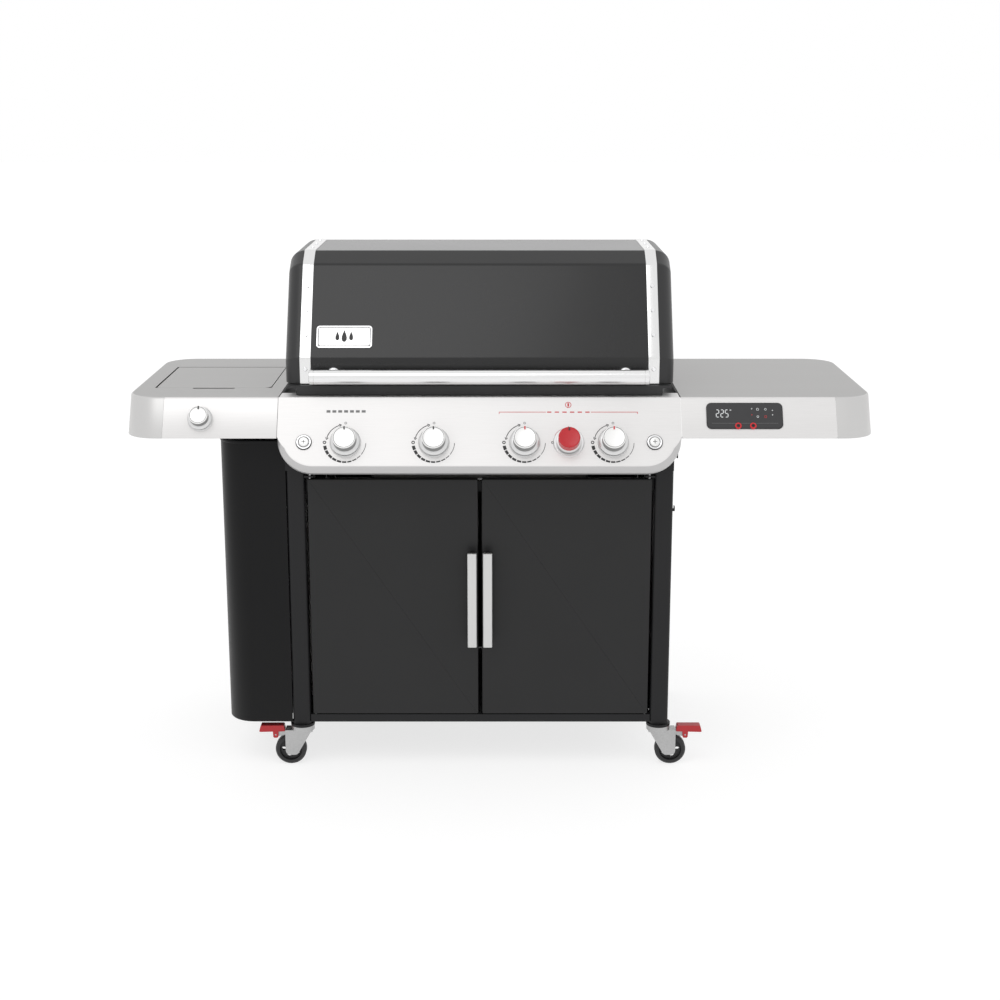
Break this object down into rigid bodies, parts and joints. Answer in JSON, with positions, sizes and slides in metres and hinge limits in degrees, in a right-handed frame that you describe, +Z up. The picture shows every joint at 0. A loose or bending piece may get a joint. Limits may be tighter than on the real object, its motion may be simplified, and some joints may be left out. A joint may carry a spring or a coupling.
{
  "type": "gas barbecue grill",
  "caption": "Cart gas grill with a hinged lid, sloped control panel with knobs, side tables, flush side burner, two-door cabinet, tank bay and swivel casters.",
  "frame": {"origin": "on the floor under the middle of the whole grill", "axes": "+X to the user's right along the front, +Y to the back, +Z up"},
  "size_m": [1.73, 0.6896, 1.2305],
  "materials": {
    "badge": "satin",
    "bezel_metal": "satin",
    "box_cast": "black cast",
    "brass": "machined",
    "cap_grey": "satin silver",
    "cast_grey": "satin cast end",
    "cast_iron": "porcelain coated",
    "caster_steel": "zinc grey",
    "display_lens": "gloss black",
    "door_enamel": "satin enamel",
    "door_handle_metal": "satin",
    "foil": "bright foil",
    "frame_paint": "satin powder coat",
    "handle_steel": "brushed",
    "handwheel_plastic": "matte",
    "hose_rubber": "matte",
    "knob_metal": "satin",
    "knob_red": "gloss",
    "lever_red": "satin",
    "lid_enamel": "gloss porcelain enamel",
    "panel_steel": "fine brushed",
    "pin_steel": "zinc",
    "screw_steel": "bright",
    "shroud_paint": "satin powder coat",
    "stainless": "brushed",
    "stem_metal": "machined",
    "table_steel": "satin silver",
    "tank_paint": "gloss paint",
    "tray_metal": "satin",
    "trim_steel": "polished",
    "tyre": "matte"
  },
  "bodies": {
    "root": {"cart_frame": "frame_paint", "base_pan": "frame_paint", "back_panel": "frame_paint", "side_panel": "frame_paint", "tank_shroud": "shroud_paint", "tank_bracket": "pin_steel", "gas_cylinder": "tank_paint", "gas_hoses": "hose_rubber", "hinge_pins": "pin_steel", "firebox": "box_cast", "gas_manifold": "brass", "burner_tubes": "stainless", "heat_tents": "stainless", "cooking_grates": "cast_iron", "warming_rack": "stainless", "control_panel": "panel_steel", "knob_bezels": "bezel_metal", "panel_screws": "screw_steel", "left_table": "table_steel", "right_table": "table_steel", "table_end_caps": "cap_grey", "side_burner": "stainless", "display_module": "display_lens"},
    "lid": {"lid_shell": "lid_enamel", "lid_end_castings": "cast_grey", "lid_trim": "trim_steel", "lid_screws": "screw_steel", "lid_handle": "handle_steel", "handle_brackets": "trim_steel", "badge_plate": "badge"},
    "left_door": {"door_left": "door_enamel", "door_handle_left": "door_handle_metal"},
    "right_door": {"door_right": "door_enamel", "door_handle_right": "door_handle_metal"},
    "tray": {"grease_tray": "tray_metal", "catch_pan": "foil"},
    "burner_lid": {"side_burner_lid": "table_steel"},
    "handwheel": {"cylinder_handwheel": "handwheel_plastic"},
    "burner_1_stem": {"valve_stem_1": "stem_metal"},
    "burner_1_knob": {"burner_knob_1": "knob_metal"},
    "burner_2_stem": {"valve_stem_2": "stem_metal"},
    "burner_2_knob": {"burner_knob_2": "knob_metal"},
    "burner_3_stem": {"valve_stem_3": "stem_metal"},
    "burner_3_knob": {"burner_knob_3": "knob_metal"},
    "burner_4_stem": {"valve_stem_4": "stem_metal"},
    "burner_4_knob": {"burner_knob_4": "knob_metal"},
    "sear_stem": {"sear_stem": "stem_metal"},
    "sear_knob": {"sear_knob": "knob_red"},
    "side_stem": {"side_stem": "stem_metal"},
    "side_knob": {"side_knob": "knob_metal"},
    "caster_front_left": {"fork_front_left": "caster_steel"},
    "wheel_front_left": {"wheel_front_left": "tyre"},
    "caster_rear_left": {"fork_rear_left": "caster_steel"},
    "wheel_rear_left": {"wheel_rear_left": "tyre"},
    "brake_left": {"brake_lever_left": "lever_red"},
    "caster_front_right": {"fork_front_right": "caster_steel"},
    "wheel_front_right": {"wheel_front_right": "tyre"},
    "caster_rear_right": {"fork_rear_right": "caster_steel"},
    "wheel_rear_right": {"wheel_rear_right": "tyre"},
    "brake_right": {"brake_lever_right": "lever_red"}
  },
  "joints": [
    {"name": "lid_hinge", "type": "hinge", "parent": "root", "child": "lid", "pos_m": [-0.047, 0.3333, 0.9275], "axis": [-1, 0, 0], "range_deg": [0, 75]},
    {"name": "left_door_hinge", "type": "hinge", "parent": "root", "child": "left_door", "pos_m": [-0.4445, -0.2347, 0.4], "axis": [0, 0, -1], "range_deg": [0, 105]},
    {"name": "right_door_hinge", "type": "hinge", "parent": "root", "child": "right_door", "pos_m": [0.3505, -0.2347, 0.4], "axis": [0, 0, 1], "range_deg": [0, 105]},
    {"name": "grease_tray_slide", "type": "slide", "parent": "root", "child": "tray", "axis": [0, 1, 0], "range_m": [0, 0.4]},
    {"name": "side_burner_lid_hinge", "type": "hinge", "parent": "root", "child": "burner_lid", "pos_m": [-0.682, 0.1783, 0.9035], "axis": [-1, 0, 0], "range_deg": [0, 85]},
    {"name": "handwheel_turn", "type": "hinge", "parent": "root", "child": "handwheel", "pos_m": [-0.49, 0.0073, 0.561], "axis": [0, 0, 1], "range_deg": [0, 540]},
    {"name": "burner_1_push", "type": "slide", "parent": "root", "child": "burner_1_stem", "axis": [0, 0.8572, -0.515], "range_m": [0, 0.004], "stiffness_N_per_m": 1500},
    {"name": "burner_1_turn", "type": "hinge", "parent": "burner_1_stem", "child": "burner_1_knob", "pos_m": [-0.354, -0.3165, 0.82501], "axis": [0, -0.8572, 0.515], "range_deg": [0, 250]},
    {"name": "burner_2_push", "type": "slide", "parent": "root", "child": "burner_2_stem", "axis": [0, 0.8572, -0.515], "range_m": [0, 0.004], "stiffness_N_per_m": 1500},
    {"name": "burner_2_turn", "type": "hinge", "parent": "burner_2_stem", "child": "burner_2_knob", "pos_m": [-0.151, -0.3165, 0.82501], "axis": [0, -0.8572, 0.515], "range_deg": [0, 250]},
    {"name": "burner_3_push", "type": "slide", "parent": "root", "child": "burner_3_stem", "axis": [0, 0.8572, -0.515], "range_m": [0, 0.004], "stiffness_N_per_m": 1500},
    {"name": "burner_3_turn", "type": "hinge", "parent": "burner_3_stem", "child": "burner_3_knob", "pos_m": [0.057, -0.3165, 0.82501], "axis": [0, -0.8572, 0.515], "range_deg": [0, 250]},
    {"name": "burner_4_push", "type": "slide", "parent": "root", "child": "burner_4_stem", "axis": [0, 0.8572, -0.515], "range_m": [0, 0.004], "stiffness_N_per_m": 1500},
    {"name": "burner_4_turn", "type": "hinge", "parent": "burner_4_stem", "child": "burner_4_knob", "pos_m": [0.26, -0.3165, 0.82501], "axis": [0, -0.8572, 0.515], "range_deg": [0, 250]},
    {"name": "sear_push", "type": "slide", "parent": "root", "child": "sear_stem", "axis": [0, 0.8572, -0.515], "range_m": [0, 0.004], "stiffness_N_per_m": 1500},
    {"name": "sear_turn", "type": "hinge", "parent": "sear_stem", "child": "sear_knob", "pos_m": [0.158, -0.3165, 0.82501], "axis": [0, -0.8572, 0.515], "range_deg": [0, 90]},
    {"name": "side_push", "type": "slide", "parent": "root", "child": "side_stem", "axis": [0, 0.8572, -0.515], "range_m": [0, 0.004], "stiffness_N_per_m": 1500},
    {"name": "side_turn", "type": "hinge", "parent": "side_stem", "child": "side_knob", "pos_m": [-0.689, -0.28765, 0.87301], "axis": [0, -0.8572, 0.515], "range_deg": [0, 250]},
    {"name": "swivel_front_left", "type": "hinge", "parent": "root", "child": "caster_front_left", "pos_m": [-0.4785, -0.2227, 0.095], "axis": [0, 0, 1], "continuous": true},
    {"name": "roll_front_left", "type": "hinge", "parent": "caster_front_left", "child": "wheel_front_left", "pos_m": [-0.5085, -0.2227, 0.0375], "axis": [0, 1, 0], "continuous": true},
    {"name": "swivel_rear_left", "type": "hinge", "parent": "root", "child": "caster_rear_left", "pos_m": [-0.4785, 0.2773, 0.095], "axis": [0, 0, 1], "continuous": true},
    {"name": "roll_rear_left", "type": "hinge", "parent": "caster_rear_left", "child": "wheel_rear_left", "pos_m": [-0.5085, 0.2773, 0.0375], "axis": [0, 1, 0], "continuous": true},
    {"name": "brake_left", "type": "hinge", "parent": "caster_front_left", "child": "brake_left", "pos_m": [-0.5445, -0.2227, 0.075], "axis": [0, -1, 0], "range_deg": [0, 12]},
    {"name": "swivel_front_right", "type": "hinge", "parent": "root", "child": "caster_front_right", "pos_m": [0.3845, -0.2227, 0.095], "axis": [0, 0, 1], "continuous": true},
    {"name": "roll_front_right", "type": "hinge", "parent": "caster_front_right", "child": "wheel_front_right", "pos_m": [0.4145, -0.2227, 0.0375], "axis": [0, 1, 0], "continuous": true},
    {"name": "swivel_rear_right", "type": "hinge", "parent": "root", "child": "caster_rear_right", "pos_m": [0.3845, 0.2773, 0.095], "axis": [0, 0, 1], "continuous": true},
    {"name": "roll_rear_right", "type": "hinge", "parent": "caster_rear_right", "child": "wheel_rear_right", "pos_m": [0.4145, 0.2773, 0.0375], "axis": [0, 1, 0], "continuous": true},
    {"name": "brake_right", "type": "hinge", "parent": "caster_front_right", "child": "brake_right", "pos_m": [0.4505, -0.2227, 0.075], "axis": [0, 1, 0], "range_deg": [0, 12]}
  ]
}
